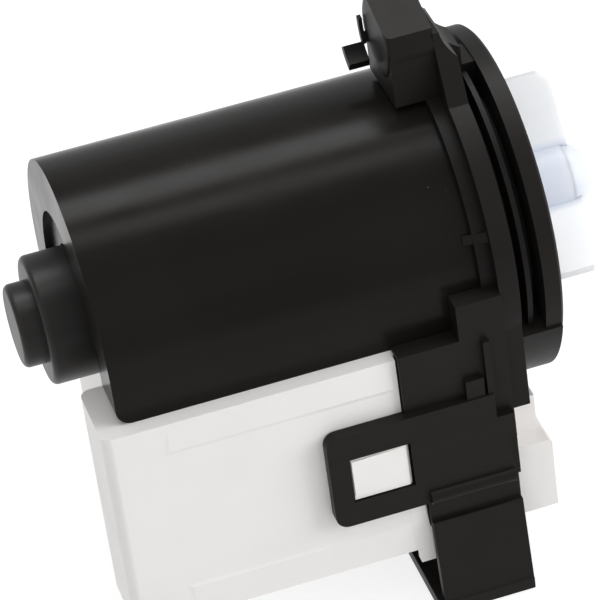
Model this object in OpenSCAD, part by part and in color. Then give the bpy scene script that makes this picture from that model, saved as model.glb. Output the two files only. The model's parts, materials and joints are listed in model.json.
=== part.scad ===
// Washer drain pump: synchronous motor, moulded front bracket and radial impeller.
// The shaft runs along X. X = 0 is the flange's mounting face, +X points to the
// impeller, +Z is up and the coil case hangs below the shaft.

/* [Flange] */
// Outer diameter of the two flange rings
rim_d = 78.2; // [74:0.2:84]
// Thickness of the front rim ring
rim_t = 4.2; // [3:0.1:6]
// Width of the cored groove between the rings
groove_w = 5.6; // [4.5:0.1:8]
// Depth of the cored groove
groove_depth = 8.1; // [6:0.1:9]
// Thickness of the thin rib inside the groove
groove_rib_t = 1.2; // [0.8:0.1:1.6]
// Thickness of the rear ring plate
plate_t = 4.6; // [3.5:0.1:6]
// Distance of the apron's lower edge below the shaft
apron_drop = 30.2; // [28:0.2:33]
// Section diameter of the flange seal
flange_seal_d = 2.2; // [1.6:0.1:2.6]

/* [Motor hood] */
// Outer diameter of the half-round hood
hood_d = 69.2; // [66:0.2:71]
// Length of the hood along the shaft
hood_len = 86.2; // [80:0.2:96]
// Wall of the hood
hood_wall = 2.2; // [1.6:0.1:2.6]
// Distance of the hood's lower edge below the shaft
hood_skirt = 8.2; // [7:0.2:10]
// Diameter of the sunk panel in the rear wall
rear_panel_d = 45.6; // [40:0.2:54]
// Depth of the sunk panel in the rear wall
rear_panel_depth = 1.6; // [0.8:0.1:2.4]

/* [Rotor can] */
// Outer diameter of the can
can_d = 29.4; // [28:0.2:32]
// Wall of the can
can_wall = 1.5; // [1.2:0.1:1.8]
// How far the can stands out of the hood's rear wall
can_out = 8.5; // [6:0.1:10]
// Diameter of the can's rear bearing pocket, outside
pocket_d = 19; // [17:0.2:22]
// Length of the can's rear bearing pocket
pocket_len = 5; // [4.6:0.1:7]

/* [Coil case] */
// Width of the coil case
case_w = 77.2; // [76:0.2:84]
// Distance of the case's underside below the shaft
case_drop = 61; // [58:0.5:68]
// Wall of the case
case_wall = 2.2; // [1.6:0.1:2.6]
// How far the rear chamber reaches behind the hood
chamber_out = 4.7; // [3:0.1:7]
// Width of the rear chamber
chamber_w = 20; // [16:0.5:20]
// Width of the connector shroud
plug_w = 22; // [20:0.5:26]
// Height of the connector shroud
plug_h = 18.3; // [14:0.1:19]
// How far the connector shroud stands out of the case
plug_len = 9.5; // [8:0.1:12]
// Height of the guide rail above the connector shroud
plug_key_h = 9.7; // [7:0.1:11]
// Length of the guide rail
plug_key_len = 7.8; // [5:0.1:9]

/* [Stator] */
// Length of the laminated stack
stack_len = 52; // [40:1:56]
// Width of each leg of the core
leg_w = 17; // [15:0.5:18]
// Height of the core's yoke
yoke_h = 16.5; // [14:0.5:17]
// Thickness of each winding
coil_t = 4.6; // [3.6:0.1:5]
// Wall of the bobbins
bobbin_wall = 1; // [0.8:0.1:1.2]

/* [Bracket sides] */
// Thickness of the bracket's side walls
wall_t = 3.4; // [3:0.1:4]
// Length of the bracket's side walls along the shaft
wall_len = 24.5; // [22:0.5:28]
// Thickness of the snap loops
loop_t = 3; // [2.4:0.1:3.6]
// Reach of the snap loops behind the side walls
loop_len = 18.9; // [16:0.1:22]
// Height of the snap loops
loop_h = 24.5; // [22:0.5:27]
// Height of the opening in the snap loops
window_h = 11.6; // [9:0.2:13]
// Distance of the foot's underside below the shaft
foot_drop = 77; // [74:0.5:84]
// Thickness of the foot plate
foot_t = 3; // [2.4:0.1:4]

/* [Screw ear] */
// Diameter of the screw ear
ear_d = 19; // [16:0.5:22]
// Height of the ear's hole above the shaft
ear_z = 48.5; // [47:0.5:54]
// Diameter of the ear's screw hole
ear_hole_d = 4.4; // [4:0.1:6.5]
// Length of the ear's boss behind the plate
ear_len = 10.35; // [8:0.05:14]

/* [Rotor and bearings] */
// Diameter of the shaft
shaft_d = 6; // [5:0.1:6.4]
// Outer diameter of the sleeve bearings
bearing_d = 10.4; // [9.6:0.1:11]
// Length of the front bearing
bearing_len = 8; // [6:0.2:9]
// Length of the rear bearing
rear_bearing_len = 5.6; // [5:0.1:6]
// Outer diameter of the front bearing's grommet
grommet_d = 14.6; // [13.6:0.1:16]
// Bore of the rotor magnet
magnet_bore = 13; // [12:0.2:16]
// Radial gap between the rotor magnet and the can
air_gap = 0.6; // [0.4:0.05:0.8]

/* [Impeller] */
// Diameter over the vanes
impeller_d = 52.4; // [44:0.2:56]
// Number of vanes
vane_n = 3; // [2:1:6]
// Thickness of the vanes
vane_t = 2.2; // [1.6:0.1:3]
// Distance of the vane tips' front corner from the mounting face
vane_front = 14.6; // [11:0.2:17]
// Distance of the hub's front, under the cap, from the mounting face
hub_front = 14.6; // [13:0.2:17]
// Diameter of the hub and of its domed nose
nose_d = 16.4; // [15.4:0.2:18]
// Free turn between drive dog and impeller, in degrees
free_turn = 180; // [120:5:200]

/* [Hidden] */
$fn = 96;

// Clearance between moulded pieces that slip into each other
fit_gap = 0.3;
// Running clearance on the radius between shaft and bearings
run_gap = 0.04;
// Clearance between moving pieces that must not touch
free_gap = 0.5;
// Overlap of solids that are joined into one piece
weld = 0.2;

// Planes across the shaft, from the mounting face to the rear
x_rim = -rim_t;
x_plate = x_rim - groove_w;
x_back = x_plate - plate_t;
x_hood_rear = x_back - hood_len;
x_can_step = x_hood_rear - can_out;
x_can_end = x_can_step - pocket_len;

// Radii of the flange
rim_r = rim_d / 2;
core_r = rim_r - groove_depth;
core_t = 2.6;
recess_r = core_r - core_t;
groove_rib_back = 2.2;
groove_rib_inset = 2.1;
block_inset = 0.4;
side_block_out = 0.6;
rim_edge = 0.6;
apron_half = rim_r - 1.1;

// Hood and can
hood_r = hood_d / 2;
hood_corner = 3.6;
can_r = can_d / 2;
can_in_r = can_r - can_wall;
pocket_r = pocket_d / 2;
pocket_in_r = pocket_r - can_wall;
can_flange_r = can_r + 4.8;
can_flange_t = 2;
can_seat_gap = 0.15;

// Collar that the hood's front end slips into
collar_t = 1.65;
collar_len = 3;

// Coil case
case_half = case_w / 2;
case_top = -hood_skirt;
case_bottom = -case_drop;
case_floor = case_bottom + case_wall;
case_step = 2;
front_half = case_half - case_step - fit_gap;
ledge_t = 2.4;
ledge_in = hood_r - hood_wall - 0.4;
x_case_front = x_back - fit_gap;
x_main_rear = x_hood_rear + 4.1;
x_chamber_rear = x_hood_rear - chamber_out;
case_round = 2.4;
plug_key_w = 7.4;
plug_key_in = 4.8;
plug_low = case_bottom - 0.3;
plug_near = -front_half + 0.2;
plug_round = 0.8;

// Tab terminals in the connector
blade_w = 6.3;
blade_t = 0.8;
blade_in = 4.2;
blade_setback = 2.2;
blade_out = plug_len - blade_setback;
blade_margin = 6.5;
blade_pitch = plug_w - 2 * blade_margin;

// Bracket sides
wall_in = case_half - case_step;
wall_out = wall_in + wall_t;
x_wall_rear = x_back - wall_len;
x_case_step = x_wall_rear - fit_gap;
loop_in = case_half + fit_gap;
loop_out = loop_in + loop_t;
x_loop_rear = x_wall_rear - loop_len;
loop_bar = 4.7;
loop_mid = -34.2;
loop_top = loop_mid + loop_h / 2;
loop_low = loop_mid - loop_h / 2;
loop_round = 3;
window_rear = x_loop_rear + loop_bar;
window_low = loop_mid - 0.3 - window_h / 2;
window_top = window_low + window_h;
wall_top = 1.2 - hood_skirt;
plate_notch = 4.1;
plate_notch_drop = 6.4;
bead_r = 1.7;
flap_top = loop_low - 6.4;
flap_out = 2.4;
flap_t = 2.2;
flap_setback = 2.9;
foot_low = -foot_drop;
x_foot_front = x_back - 0.3;
x_flap_rear = x_wall_rear + flap_setback;

// Floor of the ear's blind screw hole
x_ear_floor = x_back - ear_len + 2;

// Core and coils, measured from the middle of the stack
x_stack_front = x_back - (hood_len - stack_len) / 2 + 0.5;
x_stack_rear = x_stack_front - stack_len;
coil_gap = 0.3;
leg_in = coil_gap + coil_t + fit_gap + bobbin_wall + fit_gap;
leg_out = leg_in + leg_w;
leg_top = 15;
stator_bore = can_r + 0.4;
yoke_top = case_floor + yoke_h;
bobbin_low = yoke_top + fit_gap;
bobbin_top = -can_r - 1.6;
bobbin_flange = 1.2;

// Rotor
shaft_r = shaft_d / 2;
x_shaft_front = hub_front - 0.9;
bearing_r = bearing_d / 2;
bore_r = shaft_r + run_gap;
magnet_r = can_in_r - air_gap;
magnet_in = magnet_bore / 2;
magnet_len = stack_len - 2;
x_magnet_front = x_stack_front - 1;
x_magnet_rear = x_magnet_front - magnet_len;
sleeve_flange_t = 2;
sleeve_r = shaft_r + 1.6;
washer_t = 0.8;
washer_r = shaft_r + 2.2;

// Front end shield, with its bearing and seal
shield_t = 3;
x_shield_back = x_plate + can_flange_t;
x_shield_front = x_shield_back + shield_t;
shield_r = recess_r - 2.4;
grommet_r = grommet_d / 2;
boss_wall = 1.9;
boss_r = grommet_r + boss_wall;
seal_wall = 2;
x_bearing_front = x_shield_front - 1;
x_bearing_rear = x_bearing_front - bearing_len;
x_boss_rear = x_bearing_rear - 1;
seal_len = 3;
seal_r = shaft_r + 3.5;
x_seal_rear = x_bearing_front + seal_wall;
x_seal_front = x_seal_rear + seal_len;
screw_r = 1.5;
screw_head_r = 2.7;
screw_head_t = 1.8;
screw_n = 3;
screw_circle = (can_flange_r + shield_r + 1.6) / 2;
shield_seal_d = 1.7;

// Rear bearing in the can's pocket
x_pocket_floor = x_can_end + can_wall;
x_rear_bearing = x_pocket_floor + 0.3;
x_rear_bearing_front = x_rear_bearing + rear_bearing_len;

// Sleeve between the thrust washers
x_sleeve_front = x_bearing_rear - 0.2 - washer_t;
x_sleeve_rear = x_rear_bearing_front + 0.2 + washer_t;

// Drive dog and impeller hub
dog_rear = 1.4;
dog_len = 7;
dog_hub_r = shaft_r + 1.4;
dog_angle = 70;
stop_angle = 360 - dog_angle - free_turn;
rest_turn = 5;
cavity_rear = 2.6;
cavity_front = dog_rear + dog_len + free_gap;
hub_wall = 1.1;
nose_r = nose_d / 2;
cavity_r = nose_r - hub_wall;
dog_r = cavity_r - free_gap;
x_dome = hub_front - 2.1;
clip_pocket_len = 3;
x_clip_floor = hub_front - clip_pocket_len;
clip_t = 0.8;
clip_r = shaft_r + 1.5;
cap_plug_r = clip_r + 0.4;
cap_plug_len = 1.3;
vane_rear = 3.6;
vane_cut = 2.5;
vane_root_front = vane_front + 1.8;
vane_r = impeller_d / 2;
vane_start = -20;

black_plastic = "#2b2a29";
white_plastic = "#e6e2de";
pale_plastic = "#dfe3f2";
steel = "#b9bcc0";
bronze = "#b08a4e";
rubber = "#1c1c1e";
copper = "#b5652b";

// Profile with X along the extrusion: 2D points are (Y, Z)
module along_x(x0, x1) {
    translate([x0, 0, 0]) rotate([90, 0, 90]) linear_extrude(x1 - x0) children();
}

// Slab across the shaft: 2D points are (X, Z)
module along_y(y0, y1) {
    translate([0, y1, 0]) rotate([90, 0, 0]) linear_extrude(y1 - y0) children();
}

// Upright slab: 2D points are (X, Y)
module along_z(z0, z1) {
    translate([0, 0, z0]) linear_extrude(z1 - z0) children();
}

// Full turn about the shaft: 2D points are (radius, X)
module revolve_x() {
    rotate([0, 90, 0]) rotate_extrude() children();
}

// Part of a turn about the shaft; 0 degrees is the near side (-Y) and 90 is up
module sector_x(a0, a1) {
    rotate([-90 - a1, 0, 0]) rotate([0, 90, 0]) rotate_extrude(angle = a1 - a0) children();
}

// Flat rib in a plane through the shaft: 2D points are (radius, X)
module radial_rib(angle, thick) {
    rotate([-90 - angle, 0, 0]) rotate([0, 90, 0]) rotate([90, 0, 0])
        linear_extrude(thick, center = true) children();
}

// Rectangle from corner to corner
module rect(a, b) {
    translate([min(a.x, b.x), min(a.y, b.y)]) square([abs(b.x - a.x), abs(b.y - a.y)]);
}

// Rectangle with round corners, from corner to corner
module round_rect(a, b, r) {
    rect([a.x + r, a.y], [b.x - r, b.y]);
    rect([a.x, a.y + r], [b.x, b.y - r]);
    for (x = [a.x + r, b.x - r], y = [a.y + r, b.y - r]) translate([x, y]) circle(r);
}

module both_sides() {
    children();
    mirror([0, 1, 0]) children();
}

module ring_section(r0, r1, x0, x1) {
    translate([r0, x0]) square([r1 - r0, x1 - x0]);
}

// Section of the flange spool: rear plate, groove floor and front rim
module flange_section() {
    difference() {
        union() {
            ring_section(can_r + can_seat_gap, rim_r, x_back, x_plate);
            ring_section(recess_r, core_r + weld, x_plate - weld, 0);
            polygon([
                [core_r, x_rim], [rim_r, x_rim], [rim_r, -rim_edge], [rim_r - rim_edge, 0], [core_r, 0]
            ]);
            ring_section(core_r - weld, rim_r - groove_rib_inset,
                x_rim - groove_rib_back - groove_rib_t, x_rim - groove_rib_back);
        }
        flange_seal_groove();
    }
}

module flange_seal_groove() {
    mid = (core_r + rim_r) / 2;
    ring_section(mid - flange_seal_d / 2 - 0.2, mid + flange_seal_d / 2 + 0.2,
        0.4 - flange_seal_d, 1);
}

// Blocks that close the groove under the ear and low at both sides
module groove_blocks() {
    block_r = rim_r - block_inset;
    top_half_angle = 6;
    side_low = -62;
    side_high = -18;
    sector_x(90 - top_half_angle, 90 + top_half_angle)
        ring_section(core_r - weld, block_r, x_plate - weld, x_rim + weld);
    both_sides() sector_x(side_low, side_high) {
        ring_section(core_r - weld, block_r, x_plate - weld, x_rim + weld);
        ring_section(rim_r - 1.5, rim_r + side_block_out, x_plate - 2 * weld, -block_inset);
    }
}

// Apron below the rings, and the collar that holds the hood
module apron_and_collar() {
    along_x(x_back, x_plate) difference() {
        rect([-apron_half, -apron_drop], [apron_half, 0]);
        circle(rim_r - 1);
        rect([-apron_half + 7, -apron_drop - 1], [apron_half - 7, -apron_drop + 6]);
    }
    collar_in = hood_r + can_seat_gap;
    sector_x(0, 180) ring_section(collar_in, collar_in + collar_t, x_back - collar_len, x_back + weld);
    both_sides() along_x(x_back - collar_len, x_back + weld)
        rect([-collar_in - collar_t, wall_top], [-collar_in, weld]);
}

// Buttress between the ring plate and the side wall, with its gusset above
module buttress() {
    buttress_len = 10.4;
    buttress_in = hood_r + fit_gap;
    along_y(-wall_out, -buttress_in)
        rect([x_back - buttress_len, wall_top - weld], [x_back + weld, 2]);
    radial_rib(22, 2.2) polygon([
        [buttress_in, x_back + weld],
        [apron_half - 0.6, x_back + weld],
        [apron_half - 0.6, x_back - 0.6],
        [buttress_in, x_back - 5]
    ]);
}

// Outline of the snap loop and the plate that carries it: (X, Z)
module loop_outline() {
    plate_end = x_foot_front;
    difference() {
        union() {
            rect([x_loop_rear + loop_round, loop_low], [x_wall_rear + weld, loop_top]);
            rect([x_loop_rear, loop_low + loop_round], [x_wall_rear, loop_top - loop_round]);
            translate([x_loop_rear + loop_round, loop_top - loop_round]) circle(loop_round);
            translate([x_loop_rear + loop_round, loop_low + loop_round]) circle(loop_round);
            rect([x_wall_rear, loop_low], [plate_end, loop_top]);
        }
        rect([window_rear, window_low], [x_wall_rear, window_top]);
        rect([plate_end - plate_notch, loop_top - plate_notch_drop], [plate_end + 1, loop_top + 1]);
        rect([plate_end - 1.5, loop_low - 1], [plate_end + 1, loop_top - plate_notch_drop - 6.2]);
    }
}

// One side of the bracket: wall, snap loop, bead and small ribs, on the near side
module bracket_side() {
    along_y(-wall_out, -wall_in) rect([x_wall_rear, loop_low], [x_back + weld, wall_top]);
    along_y(-wall_in - weld, -hood_r - fit_gap)
        rect([x_wall_rear, case_top + fit_gap], [x_back + weld, wall_top - weld]);
    along_y(-loop_out, -loop_in) loop_outline();
    bead_z = loop_low + bead_r;
    translate([x_flap_rear, -loop_out, bead_z]) rotate([0, 90, 0])
        cylinder(r = bead_r, h = x_foot_front - 1.5 - x_flap_rear);
    rib_out = wall_out + 1.5;
    x_thin_rib = x_back - 5.6;
    thin_rib_t = 1.6;
    x_short_rib = x_back - 10.5;
    short_rib_t = 4.2;
    short_rib_h = 4.8;
    along_y(-rib_out, -wall_out + weld) {
        rect([x_thin_rib, loop_top - weld], [x_thin_rib + thin_rib_t, wall_top - 1]);
        rect([x_short_rib, loop_top - weld], [x_short_rib + short_rib_t, loop_top + short_rib_h]);
    }
}

// Foot under the bracket's side walls: two flaps, a base plate and its front web
module bracket_foot() {
    flap_near = -wall_out - 1.2;
    half = flap_out - flap_near;
    color(black_plastic) {
        both_sides() {
            along_y(-wall_out, -wall_in) rect([x_flap_rear, flap_top - flap_t], [x_foot_front, loop_low]);
            along_x(x_flap_rear, x_foot_front) polygon([
                [flap_near, flap_top],
                [flap_near - flap_out, foot_low],
                [flap_near - flap_out + flap_t, foot_low],
                [flap_near + flap_t, flap_top]
            ]);
        }
        along_z(foot_low, foot_low + foot_t) rect([x_flap_rear - 1.3, -half], [x_foot_front, half]);
        along_x(x_foot_front - foot_t, x_foot_front)
            rect([-wall_in - weld, foot_low + weld], [wall_in + weld, case_bottom - 2]);
    }
}

// Screw ear on top of the ring plate: boss with a flat, post and wire hook, its front scooped out
module screw_ear() {
    ear_r = ear_d / 2;
    x_ear_rear = x_back - ear_len;
    x_boss_front = x_back + weld;
    edge = 1.2;
    ear_top = ear_z + 2.9;
    rib_half = 4.5;
    rib_front = x_plate + 2.6;
    scoop_r = 11.5;
    flat_angle = 70;
    post_inset = 0.4;
    post_lift = 0.6;
    difference() {
        union() {
            along_x(x_back, x_plate) polygon([
                [-ear_r, ear_top], [-ear_r, ear_z], [-ear_r - 8, apron_half - 6],
                [ear_r + 8, apron_half - 6], [ear_r, ear_z], [ear_r, ear_top]
            ]);
            along_x(x_plate - 2 * weld, rib_front) rect([-rib_half, rim_r - 2], [rib_half, ear_z]);
        }
        translate([x_plate + 8.2, 0, ear_z + 4.8]) rotate([90, 0, 0])
            cylinder(r = scoop_r, h = 6 * ear_r, center = true);
    }
    translate([0, 0, ear_z]) difference() {
        revolve_x() polygon([
            [0, x_ear_rear], [ear_r - edge, x_ear_rear], [ear_r - 0.3 * edge, x_ear_rear + 0.3 * edge],
            [ear_r, x_ear_rear + edge], [ear_r, x_boss_front], [0, x_boss_front]
        ]);
        rotate([90 - flat_angle, 0, 0]) translate([x_ear_rear - 1, -2 * ear_r, 0.7 * ear_r])
            cube([ear_len + 4, 4 * ear_r, ear_r]);
    }
    along_x(x_ear_rear + post_inset, x_back + weld)
        rect([-ear_r + post_inset, hood_r + post_lift], [ear_r - post_inset, ear_z]);
    wire_hook(ear_r, x_ear_rear);
}

// Wire hook behind the ear's boss: thin lip, neck to the boss, and a flag that keeps a wire in
module wire_hook(ear_r, x_ear_rear) {
    hook_t = 2;
    x_lip = x_ear_rear - 0.3;
    lip_t = 0.9;
    x_flag = x_lip - lip_t + weld;
    flag_len = 4.7;
    lip_from = 175;
    lip_to = 218;
    neck_from = 200;
    flag_to = 249;
    translate([0, 0, ear_z]) {
        sector_x(lip_from, lip_to)
            ring_section(ear_r - hook_t + 0.2, ear_r - 0.3, x_lip - lip_t, x_lip);
        sector_x(neck_from, lip_to - 2)
            ring_section(ear_r - hook_t + 0.5, ear_r - 0.6, x_lip - weld, x_ear_rear + weld);
        sector_x(lip_to - 4, flag_to) ring_section(ear_r - hook_t, ear_r, x_flag - flag_len, x_flag);
    }
}

module front_bracket() {
    color(black_plastic) difference() {
        union() {
            revolve_x() flange_section();
            groove_blocks();
            apron_and_collar();
            both_sides() buttress();
            both_sides() bracket_side();
            screw_ear();
        }
        translate([x_ear_floor, 0, ear_z]) rotate([0, 90, 0])
            cylinder(d = ear_hole_d, h = x_plate + 3 - x_ear_floor);
        shield_screw_places() translate([x_back - 1, 0, 0]) rotate([0, 90, 0])
            cylinder(r = screw_r + 0.1, h = plate_t + 2);
    }
}

// End view of the hood, drawn for a given radius: half round above, straight skirts below
module hood_profile(r) {
    intersection() {
        union() {
            circle(r);
            rect([-r, case_top], [r, 0]);
        }
        rect([-r, case_top], [r, r]);
    }
}

module stator_hood() {
    panel_r = rear_panel_d / 2;
    x_panel = x_hood_rear + rear_panel_depth;
    color(black_plastic) difference() {
        along_x(x_hood_rear, x_back) hood_profile(hood_r);
        along_x(x_panel + hood_wall, x_back + 1) {
            hood_profile(hood_r - hood_wall);
            rect([-hood_r + hood_wall, case_top - 1], [hood_r - hood_wall, 0]);
        }
        along_x(x_hood_rear - 1, x_panel) {
            circle(panel_r);
            rect([-panel_r, case_top - 1], [panel_r, 0]);
        }
        along_x(x_panel - 1, x_panel + hood_wall + 1) {
            circle(can_r + fit_gap);
            rect([-can_r - fit_gap, case_top - 1], [can_r + fit_gap, 0]);
        }
        along_y(-hood_r - 1, hood_r + 1) difference() {
            rect([x_hood_rear - 1, case_top - 1], [x_hood_rear + hood_corner, case_top + hood_corner]);
            translate([x_hood_rear + hood_corner, case_top + hood_corner]) circle(hood_corner);
        }
    }
}

module rotor_can() {
    edge = 1.4;
    color(black_plastic) revolve_x() difference() {
        union() {
            ring_section(0, pocket_r - edge, x_can_end, x_can_step);
            ring_section(0, pocket_r, x_can_end + edge, x_can_step + weld);
            translate([pocket_r - edge, x_can_end + edge]) circle(edge);
            ring_section(0, can_r - edge, x_can_step, x_can_step + edge);
            ring_section(0, can_r, x_can_step + edge, x_plate);
            translate([can_r - edge, x_can_step + edge]) circle(edge);
            ring_section(0, can_flange_r, x_plate, x_shield_back);
        }
        ring_section(-edge, pocket_in_r, x_pocket_floor, x_shield_back + 1);
        ring_section(-edge, can_in_r, x_can_step + can_wall, x_shield_back + 1);
        translate([-2 * edge, x_can_end - 1]) square([2 * edge, x_shield_back - x_can_end + 2]);
    }
}

// Plan of the case, drawn in by inset: main box, narrower front and rear chamber
module case_plan(inset) {
    r = max(case_round - inset, 0.4);
    round_rect([x_main_rear + inset, -case_half + inset], [x_case_step - inset, case_half - inset], r);
    rect([x_case_step - inset - 2 * case_round, -case_half + inset],
        [x_case_step - inset, case_half - inset]);
    rect([x_case_step - inset - case_round, -front_half + inset],
        [x_case_front - inset, front_half - inset]);
    round_rect([x_chamber_rear + inset, -case_half + inset],
        [x_main_rear + 2 * case_round + inset, -case_half + chamber_w - inset], r);
}

// Connector shroud at the case's front, near side, with the guide rail set back above it
module connector_shroud() {
    plug_top = plug_low + plug_h;
    x_plug = x_case_front + plug_len;
    along_y(plug_near, plug_near + plug_w) {
        rect([x_case_front - weld, plug_low], [x_plug - plug_round, plug_top]);
        rect([x_case_front - weld, plug_low], [x_plug, plug_top - plug_round]);
        translate([x_plug - plug_round, plug_top - plug_round]) circle(plug_round);
    }
    along_y(plug_near + plug_key_in, plug_near + plug_key_in + plug_key_w)
        rect([x_case_front - weld, plug_top - weld], [x_case_front + plug_key_len, plug_top + plug_key_h]);
}

module connector_cavity() {
    wall = 1.6;
    x_plug = x_case_front + plug_len;
    along_x(x_case_front + 0.6, x_plug + 1)
        rect([plug_near + wall, plug_low + wall], [plug_near + plug_w - wall, plug_low + plug_h - wall]);
}

// Catch that fills the loop's window: a pad with a leading edge, and a ramp that rises to the rear
module catch_ramp() {
    x_catch = window_rear + fit_gap;
    x_pad_front = x_case_step - 0.1;
    pad_out = loop_out - 0.5;
    ramp_out = loop_out + 0.2;
    lead = 0.7;
    ramp_low = window_low + 1.6;
    along_z(window_low + fit_gap, window_top - fit_gap) polygon([
        [x_catch, -case_half + weld],
        [x_catch, -pad_out],
        [x_pad_front - lead, -pad_out],
        [x_pad_front, -pad_out + lead],
        [x_pad_front, -case_half + weld]
    ]);
    along_z(ramp_low, window_top - 2 * fit_gap) polygon([
        [x_catch + 0.1, -pad_out + weld],
        [x_catch + 0.1, -ramp_out],
        [x_pad_front - lead - 0.2, -pad_out],
        [x_pad_front - lead - 0.2, -pad_out + weld]
    ]);
}

module coil_case() {
    color(white_plastic) difference() {
        union() {
            along_z(case_bottom, case_top) case_plan(0);
            both_sides() catch_ramp();
            connector_shroud();
        }
        along_z(case_floor, case_top - ledge_t) case_plan(case_wall);
        along_z(case_floor, case_top + 1)
            rect([x_main_rear + case_wall, -ledge_in], [x_case_front - case_wall, ledge_in]);
        along_x(x_chamber_rear - 1, x_case_front + 1) circle(can_r + fit_gap);
        connector_cavity();
        blade_places() along_y(-blade_t / 2 - 0.05, blade_t / 2 + 0.05)
            rect([x_case_front - case_wall - 1, -blade_w / 2 - 0.05], [x_case_front + 2, blade_w / 2 + 0.05]);
    }
}

module blade_places() {
    mid_y = plug_near + plug_w / 2;
    mid_z = plug_low + plug_h / 2;
    for (side = [-1, 1]) translate([0, mid_y + side * blade_pitch / 2, mid_z]) children();
}

module terminal_blades() {
    color(steel) blade_places() along_y(-blade_t / 2, blade_t / 2) polygon([
        [x_case_front - blade_in, -blade_w / 2],
        [x_case_front + blade_out - 1.2, -blade_w / 2],
        [x_case_front + blade_out, -blade_w / 2 + 1.2],
        [x_case_front + blade_out, blade_w / 2 - 1.2],
        [x_case_front + blade_out - 1.2, blade_w / 2],
        [x_case_front - blade_in, blade_w / 2]
    ]);
}

module thermal_protector() {
    body_w = 9.5;
    body_h = 16;
    body_t = 4.5;
    near = -case_half + case_wall;
    mid_x = x_chamber_rear + case_wall + fit_gap + body_w / 2;
    color("#4a4a4c") along_z(case_floor, case_floor + body_h)
        round_rect([mid_x - body_w / 2, near], [mid_x + body_w / 2, near + body_t], 1.6);
}

module stator_core() {
    leg_chamfer = 5;
    color("#8d9094") along_x(x_stack_rear, x_stack_front) difference() {
        polygon([
            [-leg_out, case_floor], [leg_out, case_floor],
            [leg_out, leg_top - leg_chamfer], [leg_out - leg_chamfer, leg_top], [leg_in, leg_top],
            [leg_in, yoke_top], [-leg_in, yoke_top],
            [-leg_in, leg_top], [-leg_out + leg_chamfer, leg_top], [-leg_out, leg_top - leg_chamfer]
        ]);
        circle(stator_bore);
    }
}

// Plan of the space round a core leg, grown by margin
module leg_plan(margin, round) {
    round_rect([x_stack_rear - margin, leg_in - margin], [x_stack_front + margin, leg_out + margin],
        max(round, 0.2));
}

module bobbin() {
    tube = fit_gap + bobbin_wall;
    flange = tube + fit_gap + coil_t;
    difference() {
        union() {
            along_z(bobbin_low, bobbin_top) leg_plan(tube, bobbin_wall);
            along_z(bobbin_low, bobbin_low + bobbin_flange) leg_plan(flange, coil_t);
            along_z(bobbin_top - bobbin_flange, bobbin_top) leg_plan(flange, coil_t);
        }
        along_z(bobbin_low - 1, bobbin_top + 1) leg_plan(fit_gap, 0.2);
    }
}

module winding() {
    tube = fit_gap + bobbin_wall;
    along_z(bobbin_low + bobbin_flange, bobbin_top - bobbin_flange) difference() {
        leg_plan(tube + coil_t, coil_t);
        leg_plan(tube, bobbin_wall);
    }
}

module bobbin_far() { color("#d8d4c4") bobbin(); }
module bobbin_near() { mirror([0, 1, 0]) bobbin_far(); }
module winding_far() { color(copper) winding(); }
module winding_near() { mirror([0, 1, 0]) winding_far(); }

module shaft() {
    x_rear = x_rear_bearing + 0.4;
    edge = 0.5;
    color(steel) revolve_x() polygon([
        [0, x_rear], [shaft_r - edge, x_rear], [shaft_r, x_rear + edge],
        [shaft_r, x_shaft_front - edge], [shaft_r - edge, x_shaft_front], [0, x_shaft_front]
    ]);
}

module rotor_sleeve() {
    flange_r = (magnet_in + magnet_r) / 2;
    color("#3a3d44") revolve_x() difference() {
        union() {
            ring_section(shaft_r, sleeve_r, x_sleeve_rear, x_sleeve_front);
            ring_section(shaft_r, magnet_in, x_magnet_rear - weld, x_magnet_front + weld);
            ring_section(shaft_r, flange_r, x_magnet_rear - sleeve_flange_t, x_magnet_rear);
            ring_section(shaft_r, flange_r, x_magnet_front, x_magnet_front + sleeve_flange_t);
        }
    }
}

module rotor_magnet() {
    color("#55565a") revolve_x() ring_section(magnet_in, magnet_r, x_magnet_rear, x_magnet_front);
}

module thrust_washers() {
    color("#c9a66b") revolve_x() {
        ring_section(shaft_r, washer_r, x_sleeve_front, x_sleeve_front + washer_t);
        ring_section(shaft_r, washer_r, x_sleeve_rear - washer_t, x_sleeve_rear);
    }
}

module front_bearing() {
    color(bronze) revolve_x() ring_section(bore_r, bearing_r, x_bearing_rear, x_bearing_front);
}

module rear_bearing() {
    color(bronze) revolve_x() ring_section(bore_r, bearing_r, x_rear_bearing, x_rear_bearing_front);
}

module front_grommet() {
    color(rubber) revolve_x() ring_section(bearing_r, grommet_r, x_bearing_rear + 0.6, x_bearing_front);
}

module rear_grommet() {
    color(rubber) revolve_x()
        ring_section(bearing_r, pocket_in_r, x_pocket_floor, x_rear_bearing_front - 0.6);
}

module shield_screw_places() {
    for (k = [0:screw_n - 1]) rotate([90 + k * 360 / screw_n, 0, 0])
        translate([0, screw_circle, 0]) children();
}

module end_shield() {
    color("#34363a") difference() {
        revolve_x() difference() {
            union() {
                ring_section(bore_r + 0.6, shield_r, x_shield_back, x_shield_front);
                ring_section(can_in_r - 0.2 - 1.6, can_in_r - 0.2, x_plate - 1, x_shield_back + weld);
                ring_section(bore_r + 0.6, boss_r, x_boss_rear, x_shield_back + weld);
                ring_section(bore_r + 0.6, seal_r + boss_wall, x_shield_front - weld, x_seal_front);
            }
            ring_section(0, grommet_r, x_boss_rear - 1, x_bearing_front);
            ring_section(0, seal_r, x_seal_rear, x_seal_front + 1);
        }
        shield_screw_places() translate([x_shield_back - 1, 0, 0]) rotate([0, 90, 0])
            cylinder(r = screw_r + 0.2, h = shield_t + 2);
    }
}

module shield_seal() {
    ring_r = can_flange_r + fit_gap + shield_seal_d / 2;
    color(rubber) revolve_x() translate([ring_r, (x_plate + x_shield_back) / 2]) circle(d = shield_seal_d);
}

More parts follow.
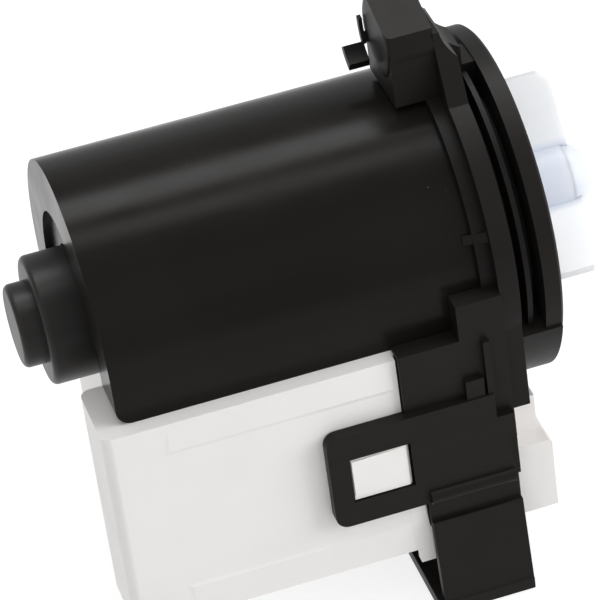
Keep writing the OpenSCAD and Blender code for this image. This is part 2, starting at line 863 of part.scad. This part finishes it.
module shield_screws() {
    shank = shield_t + plate_t + can_flange_t - 0.6;
    color(steel) shield_screw_places() translate([x_shield_front, 0, 0]) {
        rotate([0, 90, 0]) cylinder(r = screw_head_r, h = screw_head_t);
        translate([-shank, 0, 0]) rotate([0, 90, 0]) cylinder(r = screw_r, h = shank + weld);
    }
}

module shaft_seal() {
    color(rubber) revolve_x() ring_section(bore_r, seal_r, x_seal_rear, x_seal_front - 0.4);
}

module flange_seal() {
    color(rubber) revolve_x() translate([(core_r + rim_r) / 2, 0.4 - flange_seal_d / 2])
        circle(d = flange_seal_d);
}

// The dog's tooth rests against the impeller's stop, rest_turn degrees from touching
module drive_dog() {
    color("#9aa0a8") {
        revolve_x() ring_section(shaft_r, dog_hub_r, dog_rear, dog_rear + dog_len);
        sector_x(vane_start - dog_angle, vane_start)
            ring_section(dog_hub_r - 1, dog_r, dog_rear + weld, dog_rear + dog_len - weld);
    }
}

module shaft_clip() {
    color(steel) revolve_x() ring_section(shaft_r, clip_r, x_clip_floor + 0.3, x_clip_floor + 0.3 + clip_t);
}

// Section that trims the vanes: sloped front edge with a cut corner, as (radius, X)
module vane_section() {
    polygon([
        [nose_r - 1, vane_rear], [vane_r, vane_rear], [vane_r, vane_front - vane_cut],
        [vane_r - vane_cut, vane_front], [nose_r - 1, vane_root_front]
    ]);
}

// Section of the round nose between two planes, grown by margin
module dome_section(x0, x1, margin) {
    intersection() {
        translate([0, x_dome]) circle(nose_r + margin);
        ring_section(0, nose_r + 1, x0, x1);
    }
}

module impeller() {
    stop_from = vane_start + rest_turn;
    color(pale_plastic) {
        difference() {
            union() {
                revolve_x() {
                    ring_section(0, nose_r, cavity_rear, x_dome);
                    dome_section(x_dome - weld, hub_front, 0);
                }
                intersection() {
                    revolve_x() vane_section();
                    for (k = [0:vane_n - 1]) radial_rib(vane_start + k * 360 / vane_n, vane_t)
                        rect([nose_r - 2, 0], [vane_r + 1, vane_root_front + 1]);
                }
            }
            revolve_x() {
                ring_section(0, cavity_r, cavity_rear - 1, cavity_front);
                ring_section(0, shaft_r + run_gap, cavity_rear, hub_front);
                ring_section(0, cap_plug_r, x_clip_floor, hub_front + 1);
                dome_section(hub_front, hub_front + nose_r, 0.05);
            }
        }
        sector_x(stop_from, stop_from + stop_angle)
            ring_section(dog_hub_r + free_gap, cavity_r + weld, cavity_rear, cavity_front + weld);
    }
}

// Domed nose with a hollow plug that closes the clip pocket
module impeller_cap() {
    color(pale_plastic) revolve_x() difference() {
        union() {
            dome_section(hub_front, x_dome + nose_r - 0.05, 0);
            ring_section(0, cap_plug_r, hub_front - cap_plug_len, hub_front + weld);
        }
        ring_section(-1, cap_plug_r - 1, hub_front - cap_plug_len - 1, hub_front);
    }
}

front_bracket();
bracket_foot();
stator_hood();
rotor_can();
coil_case();
impeller();
impeller_cap();
stator_core();
bobbin_near();
bobbin_far();
winding_near();
winding_far();
thermal_protector();
terminal_blades();
rotor_magnet();
rotor_sleeve();
shaft();
front_bearing();
rear_bearing();
front_grommet();
rear_grommet();
thrust_washers();
end_shield();
shield_seal();
shield_screws();
shaft_seal();
drive_dog();
shaft_clip();
flange_seal();
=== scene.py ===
import json
import math

import bmesh
import bpy
from mathutils import Matrix, Vector


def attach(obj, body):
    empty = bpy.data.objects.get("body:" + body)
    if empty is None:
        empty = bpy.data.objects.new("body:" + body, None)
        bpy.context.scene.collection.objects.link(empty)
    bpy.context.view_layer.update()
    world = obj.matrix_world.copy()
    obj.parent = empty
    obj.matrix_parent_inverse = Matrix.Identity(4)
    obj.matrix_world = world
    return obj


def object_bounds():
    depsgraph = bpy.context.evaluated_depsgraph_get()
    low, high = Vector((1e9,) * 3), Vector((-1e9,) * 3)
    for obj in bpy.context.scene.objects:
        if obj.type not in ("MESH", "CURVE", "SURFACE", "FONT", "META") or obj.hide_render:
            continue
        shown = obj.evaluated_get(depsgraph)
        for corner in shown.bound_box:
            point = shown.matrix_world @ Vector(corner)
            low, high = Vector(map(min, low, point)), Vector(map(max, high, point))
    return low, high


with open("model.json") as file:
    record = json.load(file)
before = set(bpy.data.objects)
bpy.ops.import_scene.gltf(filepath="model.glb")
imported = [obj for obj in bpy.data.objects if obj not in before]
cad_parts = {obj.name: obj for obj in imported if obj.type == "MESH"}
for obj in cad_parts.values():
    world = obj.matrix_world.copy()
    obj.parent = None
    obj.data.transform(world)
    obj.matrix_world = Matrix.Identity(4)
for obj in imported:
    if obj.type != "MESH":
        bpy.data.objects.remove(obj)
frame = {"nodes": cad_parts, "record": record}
nodes = frame["nodes"]
cad_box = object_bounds()
scene = bpy.context.scene
scene.view_settings.view_transform = "Standard"

# Camera, fitted to the photograph's rims, hood and can
CAMERA_PLACE = Vector((-0.2050, -0.7114, 0.4977))
CAMERA_RIGHT = Vector((0.9486, -0.2931, -0.1195))
CAMERA_FORWARD = Vector((0.1747, 0.7995, -0.5747))
CAMERA_LENS = 238.2
CAMERA_SENSOR = 36


def placed(place, back, level):
    """Matrix of a camera or lamp at place that looks opposite to back, with level to its right."""
    up = back.cross(level).normalized()
    right = up.cross(back)
    turn = Matrix((right, up, back)).transposed()
    return Matrix.Translation(place) @ turn.to_4x4()


def add_camera():
    data = bpy.data.cameras.new("camera")
    data.sensor_width = CAMERA_SENSOR
    data.lens = CAMERA_LENS
    camera = bpy.data.objects.new("camera", data)
    back = -CAMERA_FORWARD.normalized()
    camera.matrix_world = placed(CAMERA_PLACE, back, CAMERA_RIGHT)
    scene.collection.objects.link(camera)
    scene.camera = camera


# Light: the sky's level by the sine of the height above the horizon
SKY = ((0.0, 0.6), (0.25, 0.74), (0.42, 0.8), (0.6, 0.68), (1.0, 0.5))
# A lamp whose direction rises more than this counts as overhead
OVERHEAD = 0.7


def add_world():
    world = bpy.data.worlds.new("studio")
    scene.world = world
    world.use_nodes = True
    tree = world.node_tree
    background = tree.nodes["Background"]
    background.inputs["Strength"].default_value = 1.0
    coords = tree.nodes.new("ShaderNodeTexCoord")
    parts = tree.nodes.new("ShaderNodeSeparateXYZ")
    tree.links.new(coords.outputs["Generated"], parts.inputs[0])
    level = tree.nodes.new("ShaderNodeValToRGB")
    stops = level.color_ramp.elements
    while len(stops) < len(SKY):
        stops.new(0.5)
    for stop, (height, grey) in zip(stops, SKY):
        stop.position = height
        stop.color = (grey, grey, grey, 1)
    tree.links.new(parts.outputs["Z"], level.inputs["Fac"])
    tree.links.new(level.outputs["Color"], background.inputs["Color"])


def add_softbox(name, place, size, radiance, lights_matt=True, mirrored=True):
    """A softbox aimed at the object; it may light matt surfaces, show in glossy ones, or both."""
    width, height = size
    data = bpy.data.lights.new(name, "AREA")
    data.shape = "RECTANGLE"
    data.size = width
    data.size_y = height
    data.energy = radiance * width * height * math.pi
    lamp = bpy.data.objects.new(name, data)
    lamp.visible_diffuse = lights_matt
    lamp.visible_glossy = mirrored
    back = Vector(place).normalized()
    if abs(back.z) > OVERHEAD:
        level = Vector((1, 0, 0))
    else:
        level = back.cross(Vector((0, 0, -1)))
    lamp.matrix_world = placed(place, back, level)
    scene.collection.objects.link(lamp)


def add_lamps():
    """Two strips that show in the black plastic, a lamp beside the impeller, and a soft top light."""
    add_softbox("strip_far", place=(0.3, 0.42, 1.2), size=(2.6, 0.42), radiance=7.2, lights_matt=False)
    add_softbox("strip_near", place=(0.3, -0.125, 1.2), size=(2.6, 0.25), radiance=4.0, lights_matt=False)
    add_softbox("side", place=(1.0, -0.55, 0.4), size=(0.7, 0.7), radiance=4.7)
    add_softbox("top", place=(0.1, -0.3, 1.2), size=(1.5, 1.0), radiance=1.05, mirrored=False)


# Floor: a painted pool of light, brightest round the object and falling off outwards as under studio lamps
FLOOR_SIZE = 8.0
FLOOR_GAP = 0.0004
FLOOR_GREY = 0.8
FLOOR_SHADOW_GREY = 0.34
FLOOR_GLOW = 0.8
POOL_INNER = 0.32
POOL_OUTER = 0.55
POOL_DIM = 0.5


def matt_grey(tree, grey):
    shader = tree.nodes.new("ShaderNodeBsdfDiffuse")
    shader.inputs["Color"].default_value = (grey, grey, grey, 1)
    return shader.outputs[0]


def larger(tree, a, b):
    node = tree.nodes.new("ShaderNodeMath")
    node.operation = "MAXIMUM"
    tree.links.new(a, node.inputs[0])
    tree.links.new(b, node.inputs[1])
    return node.outputs[0]


def floor_material():
    """A matt floor that is seen as white with a soft shadow and a painted pool of light round the object,
    and lights the object as a grey one.
    """
    material = bpy.data.materials.new("floor")
    material.use_nodes = True
    tree = material.node_tree
    tree.nodes.clear()
    coords = tree.nodes.new("ShaderNodeTexCoord")
    away = tree.nodes.new("ShaderNodeVectorMath")
    away.operation = "LENGTH"
    tree.links.new(coords.outputs["Object"], away.inputs[0])
    # Painted pool of light: the floor's glow dims with distance from the object
    painted_pool = tree.nodes.new("ShaderNodeMapRange")
    painted_pool.interpolation_type = "SMOOTHSTEP"
    painted_pool.inputs["From Min"].default_value = POOL_INNER
    painted_pool.inputs["From Max"].default_value = POOL_OUTER
    painted_pool.inputs["To Min"].default_value = FLOOR_GLOW
    painted_pool.inputs["To Max"].default_value = FLOOR_GLOW * POOL_DIM
    tree.links.new(away.outputs["Value"], painted_pool.inputs["Value"])
    glow = tree.nodes.new("ShaderNodeEmission")
    tree.links.new(painted_pool.outputs["Result"], glow.inputs["Strength"])
    white = tree.nodes.new("ShaderNodeAddShader")
    tree.links.new(matt_grey(tree, FLOOR_SHADOW_GREY), white.inputs[0])
    tree.links.new(glow.outputs[0], white.inputs[1])
    path = tree.nodes.new("ShaderNodeLightPath").outputs
    seen = larger(tree, path["Is Camera Ray"], path["Is Glossy Ray"])
    seen = larger(tree, seen, path["Is Transmission Ray"])
    mix = tree.nodes.new("ShaderNodeMixShader")
    tree.links.new(seen, mix.inputs["Fac"])
    tree.links.new(matt_grey(tree, FLOOR_GREY), mix.inputs[1])
    tree.links.new(white.outputs[0], mix.inputs[2])
    output = tree.nodes.new("ShaderNodeOutputMaterial")
    tree.links.new(mix.outputs[0], output.inputs["Surface"])
    return material


def add_floor():
    mesh = bpy.data.meshes.new("floor")
    half = FLOOR_SIZE / 2
    z = cad_box[0][2] - FLOOR_GAP
    corners = [(-half, -half, z), (half, -half, z), (half, half, z), (-half, half, z)]
    mesh.from_pydata(corners, [], [(0, 1, 2, 3)])
    mesh.materials.append(floor_material())
    floor = bpy.data.objects.new("floor", mesh)
    scene.collection.objects.link(floor)


# Materials: every pattern is laid in the frame's own metres
GRAIN_DEPTH = 0.00002
FLOW_DEPTH = 0.00004
ROUGH_SPREAD = 0.04
DUST_COLOUR = (0.33, 0.31, 0.28)
# The impeller's painted hub shade fades into the lighter vanes between these distances from the shaft's axis
HUB_RADIUS = 0.0080
VANE_RADIUS = 0.0105
# The mix node has one set of sockets for each kind of value, and these are the colour ones
MIX_FIRST = 6
MIX_SECOND = 7
MIX_RESULT = 2


class Surface:
    """A principled material and the nodes that feed it."""

    def __init__(self, name):
        self.material = bpy.data.materials.new(name)
        self.material.use_nodes = True
        self.tree = self.material.node_tree
        self.shader = self.tree.nodes["Principled BSDF"]
        self.coords = self.tree.nodes.new("ShaderNodeTexCoord").outputs["Object"]
        self.base = None
        self.last_bump = None

    def set(self, **values):
        """Set constants on the shader's own sockets."""
        for key, value in values.items():
            self.shader.inputs[key.replace("_", " ")].default_value = value

    def link(self, source, target):
        self.tree.links.new(source, target)

    def stretched(self, scale):
        mapping = self.tree.nodes.new("ShaderNodeMapping")
        mapping.inputs["Scale"].default_value = scale
        self.link(self.coords, mapping.inputs["Vector"])
        return mapping.outputs["Vector"]

    def noise(self, scale, detail=3.0, vector=None):
        node = self.tree.nodes.new("ShaderNodeTexNoise")
        node.inputs["Scale"].default_value = scale
        node.inputs["Detail"].default_value = detail
        self.link(vector or self.coords, node.inputs["Vector"])
        return node.outputs["Fac"]

    def cells(self, scale):
        node = self.tree.nodes.new("ShaderNodeTexVoronoi")
        node.inputs["Scale"].default_value = scale
        self.link(self.coords, node.inputs["Vector"])
        return node.outputs["Distance"]

    def waves(self, direction, scale, distortion):
        node = self.tree.nodes.new("ShaderNodeTexWave")
        node.bands_direction = direction
        node.inputs["Scale"].default_value = scale
        node.inputs["Distortion"].default_value = distortion
        self.link(self.coords, node.inputs["Vector"])
        return node.outputs["Fac"]

    def radius(self):
        """Distance from the shaft's axis."""
        flat = self.tree.nodes.new("ShaderNodeVectorMath")
        flat.operation = "MULTIPLY"
        flat.inputs[1].default_value = (0, 1, 1)
        self.link(self.coords, flat.inputs[0])
        length = self.tree.nodes.new("ShaderNodeVectorMath")
        length.operation = "LENGTH"
        self.link(flat.outputs["Vector"], length.inputs[0])
        return length.outputs["Value"]

    def span(self, source, low, high, to_low=0.0, to_high=1.0, smooth=False):
        node = self.tree.nodes.new("ShaderNodeMapRange")
        node.interpolation_type = "SMOOTHSTEP" if smooth else "LINEAR"
        node.inputs["From Min"].default_value = low
        node.inputs["From Max"].default_value = high
        node.inputs["To Min"].default_value = to_low
        node.inputs["To Max"].default_value = to_high
        self.link(source, node.inputs["Value"])
        return node.outputs["Result"]

    def times(self, a, b):
        node = self.tree.nodes.new("ShaderNodeMath")
        node.operation = "MULTIPLY"
        self.link(a, node.inputs[0])
        if isinstance(b, float):
            node.inputs[1].default_value = b
        else:
            self.link(b, node.inputs[1])
        return node.outputs[0]

    def blend(self, factor, a, b):
        node = self.tree.nodes.new("ShaderNodeMix")
        node.data_type = "RGBA"
        self.link(factor, node.inputs["Factor"])
        for value, socket in ((a, node.inputs[MIX_FIRST]), (b, node.inputs[MIX_SECOND])):
            if isinstance(value, tuple):
                socket.default_value = (*value, 1)
            else:
                self.link(value, socket)
        return node.outputs[MIX_RESULT]

    def colour(self, source):
        self.base = source
        self.link(source, self.shader.inputs["Base Color"])

    def rough(self, source):
        self.link(source, self.shader.inputs["Roughness"])

    def bump(self, height, depth, strength):
        node = self.tree.nodes.new("ShaderNodeBump")
        node.inputs["Strength"].default_value = strength
        node.inputs["Distance"].default_value = depth
        self.link(height, node.inputs["Height"])
        if self.last_bump:
            self.link(self.last_bump, node.inputs["Normal"])
        self.last_bump = node.outputs["Normal"]
        self.link(self.last_bump, self.shader.inputs["Normal"])


def scaled(colour, factor):
    return tuple(min(1.0, channel * factor) for channel in colour)


def moulded(name, colour, rough, specular, dust=0.0, flow=(14, 240, 240), cloud=0.14):
    """Moulded plastic: cloudy colour, fine spark-eroded grain, faint flow lines and a little dust."""
    s = Surface(name)
    s.set(Specular_IOR_Level=specular)
    clouds = s.span(s.noise(scale=22, detail=4), low=0.25, high=0.75, smooth=True)
    base = s.blend(clouds, scaled(colour, 1 - cloud), scaled(colour, 1 + cloud))
    lines = s.noise(scale=1.0, detail=2, vector=s.stretched(flow))
    streaks = s.span(lines, low=0.35, high=0.65, to_low=0.0, to_high=0.35)
    base = s.blend(streaks, base, scaled(colour, 1 + 2 * cloud))
    if dust:
        specks = s.span(s.cells(scale=260), low=0.03, high=0.065, to_low=1.0, to_high=0.0, smooth=True)
        patches = s.span(s.noise(scale=60, detail=2), low=0.54, high=0.68, smooth=True)
        base = s.blend(s.times(s.times(specks, patches), dust), base, DUST_COLOUR)
    s.colour(base)
    mottling = s.noise(scale=75, detail=4)
    s.rough(s.span(mottling, low=0.3, high=0.7, to_low=rough - ROUGH_SPREAD, to_high=rough + ROUGH_SPREAD))
    s.bump(s.noise(scale=2600, detail=2), depth=GRAIN_DEPTH, strength=0.5)
    s.bump(lines, depth=FLOW_DEPTH, strength=0.25)
    return s


def black_plastic(name, colour, rough, specular):
    return moulded(name, colour, rough, specular, dust=0.15).material


def white_plastic():
    colour = (0.82, 0.80, 0.785)
    s = moulded("white_plastic", colour, rough=0.35, specular=0.35, flow=(10, 90, 90), cloud=0.025)
    return s.material


def pale_plastic():
    """Milky pale blue plastic: the vanes' near-white is partly painted light showing through them, and the
    hub's deeper, bluer tone is partly painted shade.
    """
    vane_colour = (0.90, 0.93, 0.98)
    hub_painted_shade = (0.74, 0.78, 0.88)
    s = moulded("pale_plastic", vane_colour, rough=0.34, specular=0.28, cloud=0.01)
    # Painted shade: the hub near the shaft gets a darker, bluer colour than the vanes
    thin = s.span(s.radius(), low=HUB_RADIUS, high=VANE_RADIUS, smooth=True)
    s.colour(s.blend(thin, hub_painted_shade, s.base))
    s.set(Subsurface_Weight=0.6, Subsurface_Scale=0.004, Subsurface_Radius=(1.0, 1.0, 1.0))
    return s.material


def laminated_steel():
    """Stacked sheets across the shaft, with a slightly different tone on each sheet."""
    dark_sheet = (0.26, 0.27, 0.29)
    light_sheet = (0.44, 0.45, 0.47)
    rust_colour = (0.2, 0.12, 0.07)
    s = Surface("core_steel")
    s.set(Metallic=1.0)
    sheets = s.noise(scale=1.0, detail=1, vector=s.stretched((900, 4, 4)))
    base = s.blend(s.span(sheets, low=0.35, high=0.65), dark_sheet, light_sheet)
    rust = s.span(s.noise(scale=90, detail=4), low=0.56, high=0.72, to_low=0.0, to_high=0.5)
    s.colour(s.blend(rust, base, rust_colour))
    s.rough(s.span(s.noise(scale=200), low=0.3, high=0.7, to_low=0.34, to_high=0.52))
    s.bump(s.waves("X", scale=320, distortion=0.4), depth=0.00005, strength=0.6)
    return s.material


def wound_copper():
    """Enamelled wire laid in level turns, seen as fine ridges up the coil."""
    dark_enamel = (0.42, 0.15, 0.05)
    light_enamel = (0.66, 0.28, 0.11)
    s = Surface("copper_wire")
    s.set(Metallic=1.0, Coat_Weight=0.4, Coat_Roughness=0.15)
    turns = s.waves("Z", scale=560, distortion=0.5)
    tone = s.span(s.noise(scale=160), low=0.3, high=0.7)
    s.colour(s.blend(tone, dark_enamel, light_enamel))
    s.rough(s.span(turns, low=0.0, high=1.0, to_low=0.42, to_high=0.28))
    s.bump(turns, depth=0.00012, strength=0.8)
    return s.material


def ground_steel():
    """Ground steel with fine scratches along the shaft."""
    dark_steel = (0.52, 0.53, 0.55)
    light_steel = (0.7, 0.71, 0.73)
    s = Surface("bright_steel")
    s.set(Metallic=1.0)
    scratches = s.noise(scale=1.0, vector=s.stretched((60, 2600, 2600)))
    s.colour(s.blend(s.span(scratches, low=0.3, high=0.7), dark_steel, light_steel))
    s.rough(s.span(scratches, low=0.3, high=0.7, to_low=0.28, to_high=0.42))
    s.bump(scratches, depth=0.00001, strength=0.5)
    return s.material


def sintered_bronze():
    """Pressed powder metal: open pores and an oily sheen."""
    dark_bronze = (0.42, 0.26, 0.1)
    light_bronze = (0.58, 0.39, 0.17)
    pore_colour = (0.14, 0.09, 0.04)
    s = Surface("bronze")
    s.set(Metallic=1.0)
    pores = s.span(s.cells(scale=3200), low=0.1, high=0.45)
    tone = s.span(s.noise(scale=300), low=0.3, high=0.7)
    s.colour(s.blend(pores, pore_colour, s.blend(tone, dark_bronze, light_bronze)))
    s.rough(s.span(s.noise(scale=120), low=0.3, high=0.7, to_low=0.32, to_high=0.5))
    s.bump(pores, depth=0.00003, strength=0.6)
    return s.material


def ferrite():
    """Ground ferrite: dark grey, grainy, with grinding marks round the axis."""
    dark_grain = (0.05, 0.05, 0.056)
    light_grain = (0.11, 0.11, 0.12)
    s = Surface("magnet")
    s.set(Specular_IOR_Level=0.5)
    grains = s.span(s.cells(scale=2400), low=0.1, high=0.5)
    s.colour(s.blend(grains, dark_grain, light_grain))
    s.rough(s.span(s.noise(scale=400), low=0.3, high=0.7, to_low=0.4, to_high=0.6))
    marks = s.noise(scale=1.0, detail=2, vector=s.stretched((3000, 80, 80)))
    s.bump(marks, depth=0.00002, strength=0.5)
    return s.material


def rubber():
    """Matt moulded rubber with a dusty bloom."""
    clean_rubber = (0.012, 0.012, 0.013)
    dusty_rubber = (0.035, 0.034, 0.033)
    s = Surface("rubber")
    s.set(Specular_IOR_Level=0.3)
    bloom = s.span(s.noise(scale=140, detail=4), low=0.45, high=0.75, to_low=0.0, to_high=0.5)
    s.colour(s.blend(bloom, clean_rubber, dusty_rubber))
    s.rough(s.span(s.noise(scale=90), low=0.3, high=0.7, to_low=0.55, to_high=0.75))
    s.bump(s.noise(scale=1800, detail=2), depth=0.00002, strength=0.6)
    return s.material


SLOT_MATERIALS = {
    "black_plastic": black_plastic("black_plastic", (0.0085, 0.0074, 0.0067), rough=0.23, specular=0.09),
    "bracket_plastic": black_plastic("bracket_plastic", (0.0098, 0.0087, 0.0080), rough=0.42, specular=0.11),
    "can_plastic": black_plastic("can_plastic", (0.0190, 0.0178, 0.0170), rough=0.36, specular=0.18),
    "white_plastic": white_plastic(),
    "pale_plastic": pale_plastic(),
    "bobbin_plastic": moulded("bobbin_plastic", (0.66, 0.62, 0.5), rough=0.4, specular=0.45).material,
    "core_steel": laminated_steel(),
    "copper_wire": wound_copper(),
    "bright_steel": ground_steel(),
    "bronze": sintered_bronze(),
    "magnet": ferrite(),
    "grey_plastic": moulded("grey_plastic", (0.07, 0.073, 0.08), rough=0.4, specular=0.4).material,
    "rubber": rubber(),
}


def dress_nodes():
    slots = {row["node"]: row["material_slot"] for row in frame["record"]["subparts"]}
    for name, obj in nodes.items():
        material = SLOT_MATERIALS[slots[name]]
        if not obj.material_slots:
            obj.data.materials.append(material)
        for slot in obj.material_slots:
            slot.material = material


# Edge rounding of the moulded pieces, in metres
EDGE_ROUND = {
    "front_bracket": 0.0004,
    "bracket_foot": 0.0004,
    "stator_hood": 0.0007,
    "rotor_can": 0.0004,
    "coil_case": 0.0004,
    "impeller": 0.00015,
}
WELD_DISTANCE = 0.000002
ROUND_SEGMENTS = 3
# Edges that turn by less than this angle, in radians, stay as they are
ROUND_ANGLE = 0.6


def round_edges(obj, width):
    weld = obj.modifiers.new("weld", "WELD")
    weld.merge_threshold = WELD_DISTANCE
    bevel = obj.modifiers.new("edges", "BEVEL")
    bevel.width = width
    bevel.segments = ROUND_SEGMENTS
    bevel.limit_method = "ANGLE"
    bevel.angle_limit = ROUND_ANGLE
    obj.modifiers.new("normals", "WEIGHTED_NORMAL")


# The coil case's own sizes, in metres
CASE_HALF = 0.0386
CASE_BOTTOM = -0.0610
CASE_STEP = -0.0392

# Lower front corners of the case, behind the foot's flaps, each with a short tab below
CORNER_TOP = -0.0466
CORNER_FRONT = -0.03605
CORNER_STEP = -0.0553
STEP_FRONT = -0.0349
TAB_BOTTOM = -0.0648
TAB_REAR = -0.0390
CORNER_DEPTH = 0.00235
CORNER_OVERLAP = 0.0010
CORNER_PROUD = 0.00003
CORNER_ROUND = 0.0009
CORNER_SEGMENTS = 8
CORNER_EDGE = 0.00025


def add_white_piece(name, shape):
    """Turn a finished bmesh into a piece of the coil case."""
    bmesh.ops.recalc_face_normals(shape, faces=shape.faces)
    mesh = bpy.data.meshes.new(name)
    shape.to_mesh(mesh)
    shape.free()
    mesh.materials.append(SLOT_MATERIALS["white_plastic"])
    piece = bpy.data.objects.new(name, mesh)
    scene.collection.objects.link(piece)
    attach(piece, "housing")
    return piece


def join_rings(shape, rings):
    """Close a solid from rings of points: walls between neighbours, and a face on each end."""
    for ring, following in zip(rings, rings[1:]):
        for i in range(len(ring)):
            j = (i + 1) % len(ring)
            shape.faces.new((ring[i], ring[j], following[j], following[i]))
    shape.faces.new(rings[0])
    shape.faces.new(rings[-1])


def add_case_corner(name, side):
    """An upright slab stepped forward low down, with a tab below; side is -1 near the camera, 1 beyond."""
    outer = side * (CASE_HALF + CORNER_PROUD)
    inner = side * (CASE_HALF - CORNER_DEPTH)
    rear = CASE_STEP - CORNER_OVERLAP
    low = CASE_BOTTOM + CORNER_EDGE
    outline = (
        (rear, CORNER_TOP), (CORNER_FRONT, CORNER_TOP), (CORNER_FRONT, CORNER_STEP),
        (STEP_FRONT, CORNER_STEP), (STEP_FRONT, TAB_BOTTOM),
        (TAB_REAR, TAB_BOTTOM), (TAB_REAR, low), (rear, low),
    )
    shape = bmesh.new()
    rings = [[shape.verts.new((x, y, z)) for x, z in outline] for y in (outer, inner)]
    join_rings(shape, rings)
    bmesh.ops.recalc_face_normals(shape, faces=shape.faces)
    # The two upright front edges on the outside start at the outline's second and fourth points
    front_edges = [shape.edges.get(rings[0][i:i + 2]) for i in (1, 3)]
    bmesh.ops.bevel(
        shape, geom=front_edges, offset=CORNER_ROUND, segments=CORNER_SEGMENTS, profile=0.5, affect="EDGES"
    )
    for face in shape.faces:
        face.smooth = True
    round_edges(add_white_piece(name, shape), CORNER_EDGE)


# Shallow bands along the case's sides: each has a crest beside the flat middle and thins out
# to the case's edge
BAND_FRONT = -0.0403
BAND_REAR = -0.0925
BAND_RUN_OUT = 0.0015
BAND_PROUD = 0.0002
BAND_SLOPE = 0.0009
BAND_SINK = 0.00002
BAND_ROOT = 0.0003
# Height of each band's foot beside the middle, and of its thin edge
BANDS = {"top": (-0.0163, -0.0089), "low": (-0.0523, -0.0604)}


def add_case_band(name, side, foot, edge):
    """A long low wedge on the case's side; side is -1 near the camera, 1 beyond."""
    crest = foot + BAND_SLOPE if edge > foot else foot - BAND_SLOPE
    root = CASE_HALF - BAND_ROOT
    sunk = CASE_HALF - BAND_SINK
    stations = ((BAND_REAR, -BAND_SINK), (BAND_REAR + BAND_RUN_OUT, BAND_PROUD), (BAND_FRONT, BAND_PROUD))
    shape = bmesh.new()
    rings = []
    for x, proud in stations:
        section = ((root, foot), (sunk, foot), (CASE_HALF + proud, crest), (sunk, edge), (root, edge))
        rings.append([shape.verts.new((x, side * y, z)) for y, z in section])
    join_rings(shape, rings)
    add_white_piece(name, shape)


add_camera()
add_world()
add_lamps()
add_floor()
dress_nodes()
for node_name, edge_width in EDGE_ROUND.items():
    round_edges(nodes[node_name], edge_width)
for side_name, side_sign in (("near", -1), ("far", 1)):
    add_case_corner("case_corner_" + side_name, side_sign)
    for band_name, (band_foot, band_edge) in BANDS.items():
        add_case_band("case_band_" + band_name + "_" + side_name, side_sign, band_foot, band_edge)
